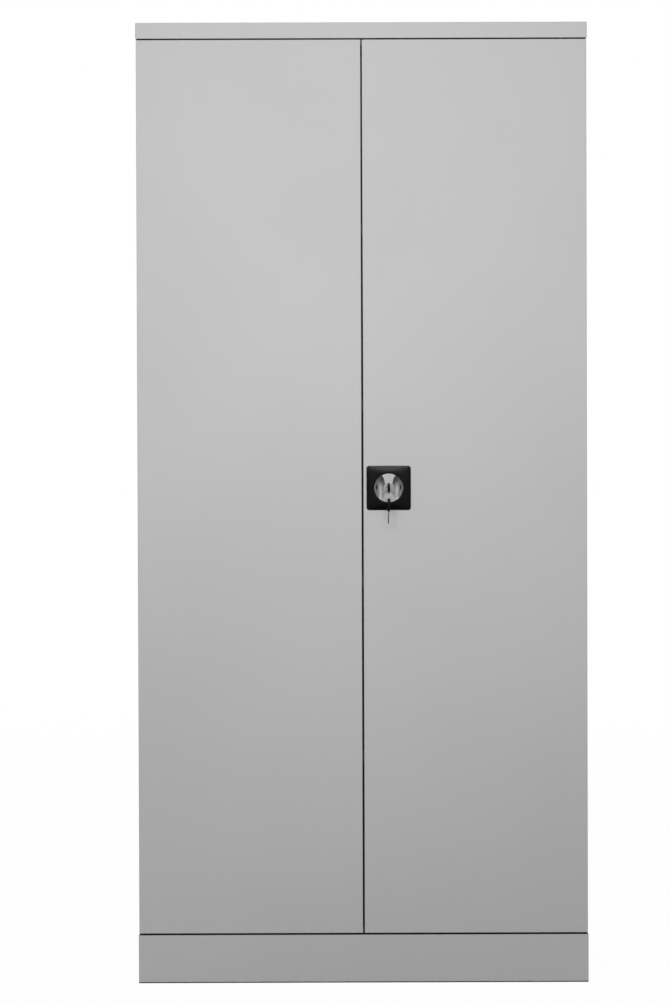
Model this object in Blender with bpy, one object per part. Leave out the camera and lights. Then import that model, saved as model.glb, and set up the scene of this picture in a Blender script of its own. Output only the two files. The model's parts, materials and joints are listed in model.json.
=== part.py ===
"""A two-door steel storage cabinet with adjustable shelves and a turn-knob lock that drives two rods.

Lengths are in metres. The cabinet stands on z = 0, x runs to the right and y from the doors to the back.
In the functions below y = 0 is the front face of the closed doors.
"""

import math

import bmesh
import bpy
from mathutils import Matrix, Vector

mm = 0.001

# Whole cabinet
cabinet_width = 915 * mm
cabinet_depth = 420 * mm
cabinet_height = 1950 * mm

# Sheet metal and fits
panel_sheet = 0.8 * mm
fold_radius = 1.6 * mm
fold_steps = 2
seat_gap = 0.3 * mm
cut_overrun = 2 * mm
weld_distance = 0.0003 * mm
flat_angle = math.radians(5)
smooth_angle = math.radians(35)
round_profile_share = 0.5

# Top cap
cap_height = 32.4 * mm
stop_lip_drop = 12 * mm
stop_lip_side_gap = 1 * mm

# Base frame and floor tray
plinth_height = 98.5 * mm
base_front_flange = 40 * mm
base_side_flange = 30 * mm
base_rear_flange = 30 * mm
base_foot_lip = 15 * mm
tray_height = 12 * mm
tray_notch_depth = 10 * mm

# Side and back panels
side_flange = 15 * mm
back_bead_depth = 1 * mm
back_bead_width = 26 * mm
back_bead_slope = 5 * mm
back_bead_place_share = 0.5

# Corner posts
post_sheet = 1.2 * mm
post_face_width = 26 * mm
post_leg_depth = 38 * mm
post_bend_radius = 2.4 * mm
post_hook_room = 4 * mm
slot_width = 11 * mm
slot_height = 8 * mm
slots_per_shelf = 7

# Shelves
shelf_count = 4
shelf_skirt = 25 * mm
shelf_lip = 12 * mm
shelf_front_gap = 9 * mm
shelf_rear_gap = 4.5 * mm
shelf_side_gap = 0.7 * mm

# Shelf clips
clip_sheet = 1.5 * mm
clip_width = 10 * mm
clip_tongue = 20 * mm
clip_rise = 14 * mm
clip_hook_drop = 4 * mm

# Doors
door_gap = 2.5 * mm
door_side_inset = 1.2 * mm
door_thickness = 22 * mm
door_lip = 18 * mm
door_stop_clearance = 2.2 * mm

# Door stiffeners
stiffener_crown = 40 * mm
stiffener_foot = 15 * mm
stiffener_depth = 18 * mm
stiffener_slope = 4 * mm
stiffener_end_gap = 20 * mm

# Hinge pins and bushes
hinge_edge_distance = 7 * mm
hinge_face_distance = 8 * mm
pin_radius = 2.5 * mm
pin_head_radius = 4.5 * mm
pin_head_height = 2 * mm
pin_reach = 8 * mm
bush_radius = 4.5 * mm
bush_flange_radius = 6 * mm
bush_length = 6 * mm

# Lock plate and housing
lock_offset = 53.5 * mm
lock_height = 1006.5 * mm
plate_size = 90 * mm
plate_thickness = 4.7 * mm
plate_corner = 5.5 * mm
plate_edge = 1.2 * mm
housing_wall = 1.2 * mm
housing_floor = 2 * mm
housing_floor_gap = 1 * mm
sleeve_wall = 2 * mm

# Knob
knob_radius = 29 * mm
knob_clearance = 1.8 * mm
knob_proud = 3 * mm
knob_thickness = 14 * mm
knob_edge = 1 * mm
scoop_offset = 17.6 * mm
scoop_half_width = 10.2 * mm
scoop_half_height = 26.5 * mm
scoop_depth = 11 * mm
boss_radius = 10.2 * mm
boss_proud = 2 * mm
shank_radius = 9 * mm
tenon_half = 4 * mm

# Key plug
plug_radius = 7 * mm
plug_proud = 0.6 * mm
plug_length = 25 * mm

# Keys
key_stand_off = 3.4 * mm
blade_length = 26.4 * mm
blade_width = 8 * mm
blade_thickness = 2 * mm
blade_tip = 3 * mm
bit_depth = 1.4 * mm
bit_count = 5
bow_length = 26 * mm
bow_width = 22 * mm
bow_thickness = 4.5 * mm
bow_shoulder = 13 * mm
bow_edge = 1.2 * mm
bow_flank_turn = math.radians(60)
bow_pocket = 6 * mm
bow_hole_radius = 2.5 * mm
bow_hole_margin = 5 * mm

# Key ring
ring_radius = 12 * mm
ring_wire_radius = 0.9 * mm

# Cam and its screw
cam_clearance = 1.7 * mm
cam_sheet = 2 * mm
cam_margin = 5 * mm
nose_reach = 72 * mm
nose_width = 24 * mm
nose_corner = 6 * mm
knob_turn = math.radians(90)
rod_travel = 18 * mm
follower_start = 18 * mm
screw_head_radius = 8 * mm
screw_head_height = 2.5 * mm
screw_radius = 1.8 * mm
screw_length = 9 * mm

# Lock rods and guides
rod_radius = 3 * mm
rod_back_gap = 1 * mm
rod_end_margin = 4 * mm
rod_top_inset = 0.4 * mm
rod_hole_gap = 0.6 * mm
follower_radius = 2.5 * mm
follower_overhang = 0.8 * mm
guide_width = 24 * mm
guide_height = 14 * mm
guide_depth = 17 * mm
guide_near_share = 0.165
guide_far_share = 0.825

# Facets of round pieces
small_round_steps = 16
medium_round_steps = 32
large_round_steps = 64
wire_round_steps = 8
slot_steps = 10
corner_steps = 4

# Places worked out from the sizes above
half_width = cabinet_width / 2
cap_bottom = cabinet_height - cap_height
stop_y = door_thickness + door_stop_clearance
side_outer_x = half_width - panel_sheet - seat_gap
side_inner_x = side_outer_x - panel_sheet
side_flange_x = side_outer_x - side_flange
stop_half_width = side_flange_x - stop_lip_side_gap
side_front_y = stop_y + panel_sheet
back_rear_y = cabinet_depth - panel_sheet - seat_gap
back_front_y = back_rear_y - panel_sheet
side_rear_y = back_front_y - seat_gap
back_half_width = side_outer_x - fold_radius
panel_low_z = plinth_height + seat_gap
panel_high_z = cabinet_height - panel_sheet - seat_gap
tray_top_z = panel_low_z + tray_height
tray_half_width = side_inner_x - seat_gap
tray_rear_y = side_rear_y - panel_sheet - seat_gap

post_outer_x = side_inner_x - post_hook_room
post_inner_x = post_outer_x - post_sheet
post_edge_x = post_outer_x - post_face_width
post_front_y = side_front_y + panel_sheet + seat_gap
post_rear_y = side_rear_y - panel_sheet - seat_gap
post_low_z = tray_top_z + seat_gap

opening_top_z = cap_bottom - stop_lip_drop
shelf_pitch = (opening_top_z - tray_top_z) / (shelf_count + 1)
slot_pitch = shelf_pitch / slots_per_shelf
shelf_half_width = post_inner_x - seat_gap - clip_sheet - seat_gap - shelf_side_gap
shelf_front_y = post_front_y + post_sheet + shelf_front_gap
shelf_rear_y = post_rear_y - post_sheet - shelf_rear_gap

door_low_z = plinth_height + door_gap
door_high_z = cap_bottom - door_gap
door_outer_x = half_width - door_side_inset
door_inner_x = door_gap / 2
door_middle_x = (door_outer_x + door_inner_x) / 2
hinge_x = door_outer_x - hinge_edge_distance
bush_flange_height = door_gap - 2 * seat_gap

plate_front_y = -seat_gap - plate_thickness
knob_front_y = plate_front_y - knob_proud
knob_back_y = knob_front_y + knob_thickness
boss_front_y = knob_front_y - boss_proud
plug_front_y = boss_front_y - plug_proud
plug_back_y = plug_front_y + plug_length
plug_bore_radius = plug_radius + seat_gap
housing_radius = knob_radius + knob_clearance + housing_wall
housing_floor_y = knob_back_y + housing_floor_gap
housing_back_y = housing_floor_y + housing_floor
sleeve_inner_radius = shank_radius + seat_gap
sleeve_radius = sleeve_inner_radius + sleeve_wall
rod_y = housing_back_y + rod_back_gap + rod_radius
cam_front_y = door_thickness + cam_clearance
cam_back_y = cam_front_y + cam_sheet
shank_back_y = cam_front_y - seat_gap
tenon_back_y = cam_back_y - seat_gap
screw_front_y = cam_back_y + seat_gap
follower_end = follower_start + rod_travel
slot_half_width = follower_radius + seat_gap
cam_radius = follower_end + slot_half_width + cam_margin

bow_back_y = plug_front_y - key_stand_off
ring_hole_y = bow_back_y - bow_length + bow_hole_margin
wire_sag = ring_radius - math.sqrt(ring_radius**2 - (bow_thickness / 2) ** 2)
wire_drop = bow_hole_radius - ring_wire_radius - seat_gap - wire_sag
ring_top_z = lock_height - wire_drop
ring_low_z = ring_top_z - 2 * ring_radius
spare_hole_z = ring_low_z - wire_drop
spare_bow_low_z = spare_hole_z + bow_hole_margin - bow_length

front_reach = bow_width / 2 - ring_hole_y
front_face_y = (front_reach - cabinet_depth) / 2


# Materials

def make_material(name, colour, roughness, metallic=0.0):
    material = bpy.data.materials.new(name)
    material.diffuse_color = (*colour, 1.0)
    material.use_nodes = True
    shader = material.node_tree.nodes["Principled BSDF"]
    shader.inputs["Base Color"].default_value = (*colour, 1.0)
    shader.inputs["Roughness"].default_value = roughness
    shader.inputs["Metallic"].default_value = metallic
    return material


# Drawing outlines

def direction(start, end):
    return (Vector(end) - Vector(start)).normalized()


def offset_path(points, distance, closed=False):
    """The path moved to its left by a distance, with mitred corners."""
    count = len(points)
    moved = []
    for i, point in enumerate(points):
        before = direction(points[i - 1], point) if closed or i > 0 else None
        after = direction(point, points[(i + 1) % count]) if closed or i < count - 1 else None
        before = before or after
        after = after or before
        normals = Vector((-before.y, before.x)) + Vector((-after.y, after.x))
        reach = distance / (1 + before.dot(after))
        moved.append(tuple(Vector(point) + normals * reach))
    return moved


def arc(centre, radius, start, end, steps):
    """Points on an arc, both ends included."""
    turns = [start + (end - start) * i / steps for i in range(steps + 1)]
    return [(centre[0] + radius * math.cos(t), centre[1] + radius * math.sin(t)) for t in turns]


def rounded_path(points, radius, steps):
    """The open path with each inner corner turned into an arc."""
    path = [points[0]]
    for before, corner, after in zip(points, points[1:], points[2:]):
        arrive = direction(before, corner)
        leave = direction(corner, after)
        turn = arrive.angle_signed(leave)
        inward = Vector((-arrive.y, arrive.x)) * math.copysign(radius, -turn)
        start = Vector(corner) - arrive * radius * math.tan(abs(turn) / 2)
        for i in range(steps + 1):
            swing = Matrix.Rotation(-turn * i / steps, 2)
            path.append(tuple(start + inward - swing @ inward))
    return path + [points[-1]]


def strip_outline(path, thickness):
    """The closed outline of a bent strip whose skin follows the path, with its metal on the left."""
    return list(path) + offset_path(path, thickness)[::-1]


def rectangle(low_u, high_u, low_v, high_v):
    return [(low_u, low_v), (high_u, low_v), (high_u, high_v), (low_u, high_v)]


def rounded_rectangle(half_u, half_v, radius, steps):
    outline = []
    for i, (side_u, side_v) in enumerate(((1, -1), (1, 1), (-1, 1), (-1, -1))):
        centre = (side_u * (half_u - radius), side_v * (half_v - radius))
        start = (i - 1) * math.pi / 2
        outline += arc(centre, radius, start, start + math.pi / 2, steps)
    return outline


# Ways to lay a drawing (u, v, w) into the cabinet

def upright(x=0, y=0, z=0):
    """u to the right, v to the back, w up."""
    return lambda u, v, w: Vector((x + u, y + v, z + w))


def facing(x=0, y=0, z=0):
    """u to the right, v up, w to the back."""
    return lambda u, v, w: Vector((x + u, y + w, z + v))


def sideways(x=0, y=0, z=0):
    """u to the back, v up, w to the right."""
    return lambda u, v, w: Vector((x + w, y + u, z + v))


def hanging(x=0, y=0, z=0):
    """u down, v to the back, w to the right."""
    return lambda u, v, w: Vector((x + w, y + v, z - u))


# Making shapes

def add_prism(shape, outline, place, low, high):
    """A closed prism: the outline carried from w = low to w = high."""
    ends = [[shape.verts.new(place(u, v, w)) for u, v in outline] for w in (low, high)]
    faces = [shape.faces.new(ring) for ring in ends]
    for i in range(len(outline)):
        faces.append(shape.faces.new((ends[0][i - 1], ends[0][i], ends[1][i], ends[1][i - 1])))
    bmesh.ops.recalc_face_normals(shape, faces=faces)
    return faces


def add_turned(shape, profile, place, steps, hollow=False):
    """A solid of revolution about w. The profile lists (radius, w); a hollow one is a closed loop."""
    verts = [shape.verts.new(place(radius, 0, w)) for radius, w in profile]
    pairs = list(zip(verts, verts[1:])) + ([(verts[-1], verts[0])] if hollow else [])
    edges = [shape.edges.new(pair) for pair in pairs]
    centre = place(0, 0, 0)
    axis = place(0, 0, cabinet_height) - centre
    before = set(shape.verts) - set(verts)
    bmesh.ops.spin(
        shape, geom=verts + edges, cent=centre, axis=axis, angle=math.tau, steps=steps, use_merge=True
    )
    made = [vert for vert in shape.verts if vert not in before]
    bmesh.ops.remove_doubles(shape, verts=made, dist=weld_distance)
    bmesh.ops.recalc_face_normals(shape, faces=shape.faces)


def rod_profile(radius, low, high):
    return [(0, low), (radius, low), (radius, high), (0, high)]


def prism(outline, place, low, high):
    shape = bmesh.new()
    add_prism(shape, outline, place, low, high)
    return shape


def turned(profile, place, steps, hollow=False):
    shape = bmesh.new()
    add_turned(shape, profile, place, steps, hollow)
    return shape


def round_edges(shape, edges, radius, steps):
    bmesh.ops.bevel(
        shape,
        geom=edges,
        offset=radius,
        segments=steps,
        profile=round_profile_share,
        affect="EDGES",
        clamp_overlap=True,
    )


def sheet_skin(faces, outward):
    """The outer skin of a folded sheet, with a radius at each fold. The first face looks along outward."""
    shape = bmesh.new()
    for face in faces:
        shape.faces.new([shape.verts.new(point) for point in face])
    bmesh.ops.remove_doubles(shape, verts=shape.verts, dist=weld_distance)
    shape.faces.ensure_lookup_table()
    bmesh.ops.recalc_face_normals(shape, faces=shape.faces)
    if shape.faces[0].normal.dot(Vector(outward)) < 0:
        bmesh.ops.reverse_faces(shape, faces=shape.faces)
    inner = [edge for edge in shape.edges if len(edge.link_faces) == 2]
    folds = [edge for edge in inner if edge.calc_face_angle() > flat_angle]
    round_edges(shape, folds, fold_radius, fold_steps)
    return shape


def pan_faces(outline, depth, lip, place):
    """Floor, walls and inward lips of a pan, from the outline of its floor, drawn anticlockwise."""
    inner = offset_path(outline, lip, closed=True)
    faces = [[place(u, v, 0) for u, v in outline]]
    for i in range(len(outline)):
        near, far = outline[i - 1], outline[i]
        faces.append([place(*near, 0), place(*far, 0), place(*far, depth), place(*near, depth)])
        if lip:
            lip_near, lip_far = inner[i - 1], inner[i]
            ends = (near, far, lip_far, lip_near)
            faces.append([place(*end, depth) for end in ends])
    return faces


def ring_faces(outer, inner, place, level):
    """Four flanges between two rectangles, meeting in mitres."""
    faces = []
    for i in range(len(outer)):
        corners = (outer[i - 1], outer[i], inner[i], inner[i - 1])
        faces.append([place(*corner, level) for corner in corners])
    return faces


# Joint axes: an empty stands on each one, and moving pieces hang from it

axis_places = {}


def add_axis(name, place, carrier=None):
    empty = bpy.data.objects.new(name, None)
    empty.empty_display_size = knob_radius
    bpy.context.scene.collection.objects.link(empty)
    axis_places[name] = Vector(place)
    empty.parent = carrier
    empty.location = axis_places[name] - (axis_places[carrier.name] if carrier else Vector())
    return empty


def add_object(name, shape, material, carrier, smooth=False):
    mesh = bpy.data.meshes.new(name)
    shape.to_mesh(mesh)
    shape.free()
    mesh.materials.append(material)
    if smooth:
        mesh.shade_smooth()
        mesh.set_sharp_from_angle(angle=smooth_angle)
    item = bpy.data.objects.new(name, mesh)
    bpy.context.scene.collection.objects.link(item)
    item.parent = carrier
    item.location = -axis_places[carrier.name]
    return item


def add_sheet_object(name, shape, material, carrier):
    item = add_object(name, shape, material, carrier)
    thicken = item.modifiers.new("sheet", "SOLIDIFY")
    thicken.thickness = panel_sheet
    thicken.offset = -1
    thicken.use_even_offset = True
    return item


def combine(item, name, shape, operation, solver="EXACT"):
    """Cuts a helper shape from the item, or joins it on."""
    helper = add_object(name, shape, item.data.materials[0], item.parent)
    helper.hide_render = True
    helper.display_type = "WIRE"
    change = item.modifiers.new(name, "BOOLEAN")
    change.operation = operation
    change.object = helper
    change.solver = solver


def cut(item, name, shape, solver="EXACT"):
    combine(item, name, shape, "DIFFERENCE", solver)


def join(item, name, shape, solver="EXACT"):
    combine(item, name, shape, "UNION", solver)


# Base frame, floor tray and top cap

def flange_holes(x_places, level):
    """Cutters through a flange that meets the doors: one for each pivot pin and one for the lock rod."""
    shape = bmesh.new()
    low, high = level - cut_overrun, level + panel_sheet + cut_overrun
    for x in x_places:
        place = upright(x, hinge_face_distance)
        add_turned(shape, rod_profile(pin_radius + seat_gap, low, high), place, small_round_steps)
    rod_hole = rod_profile(rod_radius + rod_hole_gap, low, high)
    add_turned(shape, rod_hole, upright(lock_offset, rod_y), small_round_steps)
    return shape


def make_base_frame(material, carrier):
    outer = rectangle(-half_width, half_width, 0, cabinet_depth)
    inner_x = half_width - base_side_flange
    top_inner = rectangle(-inner_x, inner_x, base_front_flange, cabinet_depth - base_rear_flange)
    foot_inner = offset_path(outer, base_foot_lip, closed=True)
    place = upright()
    faces = []
    for i in range(len(outer)):
        near, far = outer[i - 1], outer[i]
        levels = ((near, 0), (far, 0), (far, plinth_height), (near, plinth_height))
        faces.append([place(*point, z) for point, z in levels])
    faces += ring_faces(outer, top_inner, place, plinth_height)
    faces += ring_faces(outer, foot_inner, place, 0)
    item = add_sheet_object("base_frame", sheet_skin(faces, (-1, 0, 0)), material, carrier)
    cut(item, "base_frame_holes", flange_holes((-hinge_x, hinge_x), plinth_height - panel_sheet))


def make_floor_tray(material, carrier):
    notch_y = stop_y + tray_notch_depth
    outline = [
        (-stop_half_width, stop_y),
        (stop_half_width, stop_y),
        (stop_half_width, notch_y),
        (tray_half_width, notch_y),
        (tray_half_width, tray_rear_y),
        (-tray_half_width, tray_rear_y),
        (-tray_half_width, notch_y),
        (-stop_half_width, notch_y),
    ]
    faces = pan_faces(outline, -tray_height, 0, upright(z=tray_top_z))
    add_sheet_object("floor_tray", sheet_skin(faces, (0, 0, 1)), material, carrier)


def make_top_cap(material, carrier):
    x, rear, top, low = half_width, cabinet_depth, cabinet_height, cap_bottom
    lip_x, lip_z = stop_half_width, opening_top_z
    underside = ((-x, 0), (x, 0), (x, stop_y), (lip_x, stop_y), (-lip_x, stop_y), (-x, stop_y))
    skirt = ((0, low), (stop_y, low), (rear, low), (rear, top), (0, top))
    faces = [
        [(-x, 0, top), (x, 0, top), (x, rear, top), (-x, rear, top)],
        [(-x, 0, low), (x, 0, low), (x, 0, top), (-x, 0, top)],
        [(-x, rear, low), (x, rear, low), (x, rear, top), (-x, rear, top)],
        [(u, v, low) for u, v in underside],
        [(-lip_x, stop_y, low), (lip_x, stop_y, low), (lip_x, stop_y, lip_z), (-lip_x, stop_y, lip_z)],
    ]
    for side in (-x, x):
        faces.append([(side, v, w) for v, w in skirt])
    item = add_sheet_object("top_cap", sheet_skin(faces, (0, 0, 1)), material, carrier)
    cut(item, "top_cap_holes", flange_holes((-hinge_x, hinge_x), cap_bottom))


# Side panels, back panel and posts

def make_side_panel(name, side, material, carrier):
    path = [
        (side_flange_x, side_rear_y),
        (side_outer_x, side_rear_y),
        (side_outer_x, side_front_y),
        (side_flange_x, side_front_y),
    ]
    path = rounded_path(path, fold_radius, fold_steps)
    outline = [(side * u, v) for u, v in strip_outline(path, -panel_sheet)]
    add_object(name, prism(outline, upright(), panel_low_z, panel_high_z), material, carrier)


def make_back_panel(material, carrier):
    """A flat sheet stiffened by two upright beads that are pressed towards the inside."""
    middle = back_half_width * back_bead_place_share
    path = [(-back_half_width, back_rear_y)]
    for centre in (-middle, middle):
        half = back_bead_width / 2
        bottom_y = back_rear_y - back_bead_depth
        path += [(centre - half, back_rear_y), (centre - half + back_bead_slope, bottom_y)]
        path += [(centre + half - back_bead_slope, bottom_y), (centre + half, back_rear_y)]
    path.append((back_half_width, back_rear_y))
    outline = strip_outline(path, -panel_sheet)
    add_object("back_panel", prism(outline, upright(), panel_low_z, panel_high_z), material, carrier)


def slot_levels():
    """Heights of the lower edge of each slot. Every shelf uses one of them."""
    first = tray_top_z - shelf_skirt - seat_gap - clip_sheet + clip_rise
    rows = range(2, slots_per_shelf * (shelf_count + 1) - 1)
    return [first + row * slot_pitch for row in rows]


def make_post(name, side, front, material, carrier):
    """An upright angle: one leg lies behind the side panel's flange, the other carries the slots."""
    face_y = post_front_y if front else post_rear_y
    inward = 1 if front else -1
    path = [
        (side * post_edge_x, face_y),
        (side * post_outer_x, face_y),
        (side * post_outer_x, face_y + inward * post_leg_depth),
    ]
    path = rounded_path(path, post_bend_radius, fold_steps)
    outline = strip_outline(path, post_sheet * side * inward)
    item = add_object(name, prism(outline, upright(), post_low_z, panel_high_z), material, carrier)
    slots = bmesh.new()
    slot_y = clip_centre_y(front)
    inner, outer = sorted((side * (post_inner_x - cut_overrun), side * (post_outer_x + cut_overrun)))
    for low in slot_levels():
        opening = rectangle(slot_y - slot_width / 2, slot_y + slot_width / 2, low, low + slot_height)
        add_prism(slots, opening, sideways(), inner, outer)
    cut(item, name + "_slots", slots)


def clip_centre_y(front):
    reach = (post_sheet + post_leg_depth) / 2
    return post_front_y + reach if front else post_rear_y - reach


# Shelves and their clips

def make_shelf(number, material, carrier):
    outline = rectangle(-shelf_half_width, shelf_half_width, shelf_front_y, shelf_rear_y)
    top = tray_top_z + number * shelf_pitch
    faces = pan_faces(outline, -shelf_skirt, shelf_lip, upright(z=top))
    add_sheet_object(f"shelf_{number}", sheet_skin(faces, (0, 0, 1)), material, carrier)


def clip_outline():
    """The strip from the tip of its tongue, up the post, out through the slot and down behind it."""
    plate_x = post_inner_x - seat_gap
    hook_x = post_outer_x + seat_gap + clip_sheet
    top = clip_rise + seat_gap + clip_sheet
    path = [
        (plate_x - clip_sheet - clip_tongue, clip_sheet),
        (plate_x - clip_sheet, clip_sheet),
        (plate_x - clip_sheet, top),
        (hook_x, top),
        (hook_x, top - clip_sheet - clip_hook_drop),
    ]
    return strip_outline(path, -clip_sheet)


def make_clip(name, number, side, front, material, carrier):
    tongue_low_z = tray_top_z + number * shelf_pitch - shelf_skirt - seat_gap - clip_sheet
    centre = clip_centre_y(front)
    outline = [(side * u, tongue_low_z + v) for u, v in clip_outline()]
    shape = prism(outline, facing(), centre - clip_width / 2, centre + clip_width / 2)
    add_object(name, shape, material, carrier)


# Doors

def make_door(name, side, material, carrier):
    low_x, high_x = sorted((side * door_inner_x, side * door_outer_x))
    outline = rectangle(low_x, high_x, door_low_z, door_high_z)
    faces = pan_faces(outline, door_thickness, door_lip, facing())
    item = add_sheet_object(name, sheet_skin(faces, (0, -1, 0)), material, carrier)
    holes = bmesh.new()
    for level in (door_low_z, door_high_z - panel_sheet):
        low, high = level - cut_overrun, level + panel_sheet + cut_overrun
        place = upright(side * hinge_x, hinge_face_distance)
        add_turned(holes, rod_profile(bush_radius + seat_gap, low, high), place, small_round_steps)
        if side > 0:
            rod_hole = rod_profile(rod_radius + rod_hole_gap, low, high)
            add_turned(holes, rod_hole, upright(lock_offset, rod_y), small_round_steps)
    if side > 0:
        lock_hole = rod_profile(housing_radius + seat_gap, -cut_overrun, panel_sheet + cut_overrun)
        add_turned(holes, lock_hole, facing(lock_offset, 0, lock_height), large_round_steps)
    cut(item, name + "_holes", holes)


def make_stiffener(name, side, material, carrier):
    """A hat section that stands against the inside of the door skin."""
    skin_y = panel_sheet + seat_gap
    half, crown_y = stiffener_crown / 2, skin_y + stiffener_depth
    edge = half + stiffener_slope
    path = [
        (-edge - stiffener_foot, skin_y),
        (-edge, skin_y),
        (-half, crown_y - panel_sheet),
        (half, crown_y - panel_sheet),
        (edge, skin_y),
        (edge + stiffener_foot, skin_y),
    ]
    outline = strip_outline(path, panel_sheet)
    place = upright(side * door_middle_x)
    low, high = door_low_z + stiffener_end_gap, door_high_z - stiffener_end_gap
    add_object(name, prism(outline, place, low, high), material, carrier)


# Pivot hinges

def make_pin(name, side, upper, material, carrier):
    """A headed pin: its head lies behind the flange, its shank reaches into the door."""
    base = cap_bottom + panel_sheet + seat_gap if upper else plinth_height - panel_sheet - seat_gap
    way = 1 if upper else -1
    reach = panel_sheet + seat_gap + door_gap + pin_reach
    profile = [
        (0, base + way * pin_head_height),
        (pin_head_radius, base + way * pin_head_height),
        (pin_head_radius, base),
        (pin_radius, base),
        (pin_radius, base - way * reach),
        (0, base - way * reach),
    ]
    place = upright(side * hinge_x, hinge_face_distance)
    add_object(name, turned(profile, place, small_round_steps), material, carrier, smooth=True)


def make_bush(name, side, upper, material, carrier):
    """A flanged bush in the door. Its flange is the washer between the door and the cabinet."""
    edge = door_high_z if upper else door_low_z
    way = 1 if upper else -1
    bore = pin_radius + seat_gap
    seat = edge + way * seat_gap
    profile = [
        (bore, edge - way * bush_length),
        (bush_radius, edge - way * bush_length),
        (bush_radius, seat),
        (bush_flange_radius, seat),
        (bush_flange_radius, seat + way * bush_flange_height),
        (bore, seat + way * bush_flange_height),
    ]
    place = upright(side * hinge_x, hinge_face_distance)
    add_object(name, turned(profile, place, small_round_steps, hollow=True), material, carrier, smooth=True)


# Lock plate, housing, knob and plug

def make_lock_plate(material, carrier):
    place = facing(lock_offset, 0, lock_height)
    outline = rounded_rectangle(plate_size / 2, plate_size / 2, plate_corner, corner_steps)
    shape = bmesh.new()
    faces = add_prism(shape, outline, place, plate_front_y, -seat_gap)
    round_edges(shape, list(faces[0].edges), plate_edge, fold_steps)
    item = add_object("lock_plate", shape, material, carrier)
    low, high = plate_front_y - cut_overrun, cut_overrun
    hole = rod_profile(knob_radius + knob_clearance, low, high)
    cut(item, "lock_plate_hole", turned(hole, place, large_round_steps))


def make_lock_housing(material, carrier):
    cup_inner = housing_radius - housing_wall
    profile = [
        (cup_inner, 0),
        (housing_radius, 0),
        (housing_radius, housing_back_y),
        (sleeve_radius, housing_back_y),
        (sleeve_radius, door_thickness),
        (sleeve_inner_radius, door_thickness),
        (sleeve_inner_radius, housing_floor_y),
        (cup_inner, housing_floor_y),
    ]
    shape = turned(profile, facing(lock_offset, 0, lock_height), large_round_steps, hollow=True)
    add_object("lock_housing", shape, material, carrier, smooth=True)


def make_knob(material, carrier):
    """A disc with two finger scoops that leave a grip bar, a boss round the key plug, and a shank."""
    place = facing(lock_offset, 0, lock_height)
    profile = [
        (0, knob_front_y),
        (knob_radius - knob_edge, knob_front_y),
        (knob_radius, knob_front_y + knob_edge),
        (knob_radius, knob_back_y),
        (shank_radius, knob_back_y),
        (shank_radius, shank_back_y),
        (0, shank_back_y),
    ]
    item = add_object("knob", turned(profile, place, large_round_steps), material, carrier, smooth=True)
    scoops = bmesh.new()
    width_share = scoop_half_width / scoop_half_height
    depth_share = scoop_depth / scoop_half_height
    for side in (-1, 1):
        centre = Matrix.Translation(place(side * scoop_offset, 0, knob_front_y))
        bmesh.ops.create_uvsphere(
            scoops,
            u_segments=medium_round_steps,
            v_segments=small_round_steps,
            radius=scoop_half_height,
            matrix=centre @ Matrix.Diagonal((width_share, depth_share, 1, 1)),
        )
    cut(item, "knob_scoops", scoops, "MANIFOLD")
    boss = rod_profile(boss_radius, boss_front_y, knob_back_y - knob_edge)
    join(item, "knob_boss", turned(boss, place, medium_round_steps), "MANIFOLD")
    tenon = rectangle(-tenon_half, tenon_half, -tenon_half, tenon_half)
    join(item, "knob_tenon", prism(tenon, place, shank_back_y - knob_edge, tenon_back_y), "MANIFOLD")
    bores = bmesh.new()
    plug_bore = rod_profile(plug_bore_radius, boss_front_y - cut_overrun, plug_back_y + seat_gap)
    add_turned(bores, plug_bore, place, medium_round_steps)
    screw_low = tenon_back_y - screw_length
    screw_bore = rod_profile(screw_radius + seat_gap, screw_low, tenon_back_y + cut_overrun)
    add_turned(bores, screw_bore, place, small_round_steps)
    cut(item, "knob_bores", bores, "MANIFOLD")


def make_plug(material, carrier):
    place = facing(lock_offset, 0, lock_height)
    body = turned(rod_profile(plug_radius, plug_front_y, plug_back_y), place, medium_round_steps)
    item = add_object("lock_plug", body, material, carrier, smooth=True)
    half_u = blade_thickness / 2 + seat_gap
    half_v = blade_width / 2 + seat_gap
    depth = bow_back_y + blade_length + seat_gap
    keyway = rectangle(-half_u, half_u, -half_v, half_v)
    cut(item, "keyway", prism(keyway, place, plug_front_y - cut_overrun, depth))


# Keys and their ring

def blade_outline():
    """A flat key blade from its pocket to its tip, with a row of bittings along one edge."""
    half = blade_width / 2
    start = seat_gap - bow_pocket
    outline = [(start, -half), (0, -half)]
    bit_start, bit_end = blade_tip, blade_length - blade_tip
    pitch = (bit_end - bit_start) / bit_count
    for i in range(bit_count):
        near = bit_start + i * pitch
        outline += [(near, -half), (near + pitch / 2, -half + bit_depth)]
    outline += [(bit_end, -half), (blade_length, -half / 2)]
    outline += [(blade_length, half / 2), (bit_end, half), (start, half)]
    return outline


def bow_outline():
    """A round head that narrows in two straight flanks to the shoulder where the blade comes out."""
    radius = bow_width / 2
    centre = (radius - bow_length, 0)
    head = arc(centre, radius, bow_flank_turn, math.tau - bow_flank_turn, small_round_steps)
    return [(0, -bow_shoulder / 2), (0, bow_shoulder / 2)] + head


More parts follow.
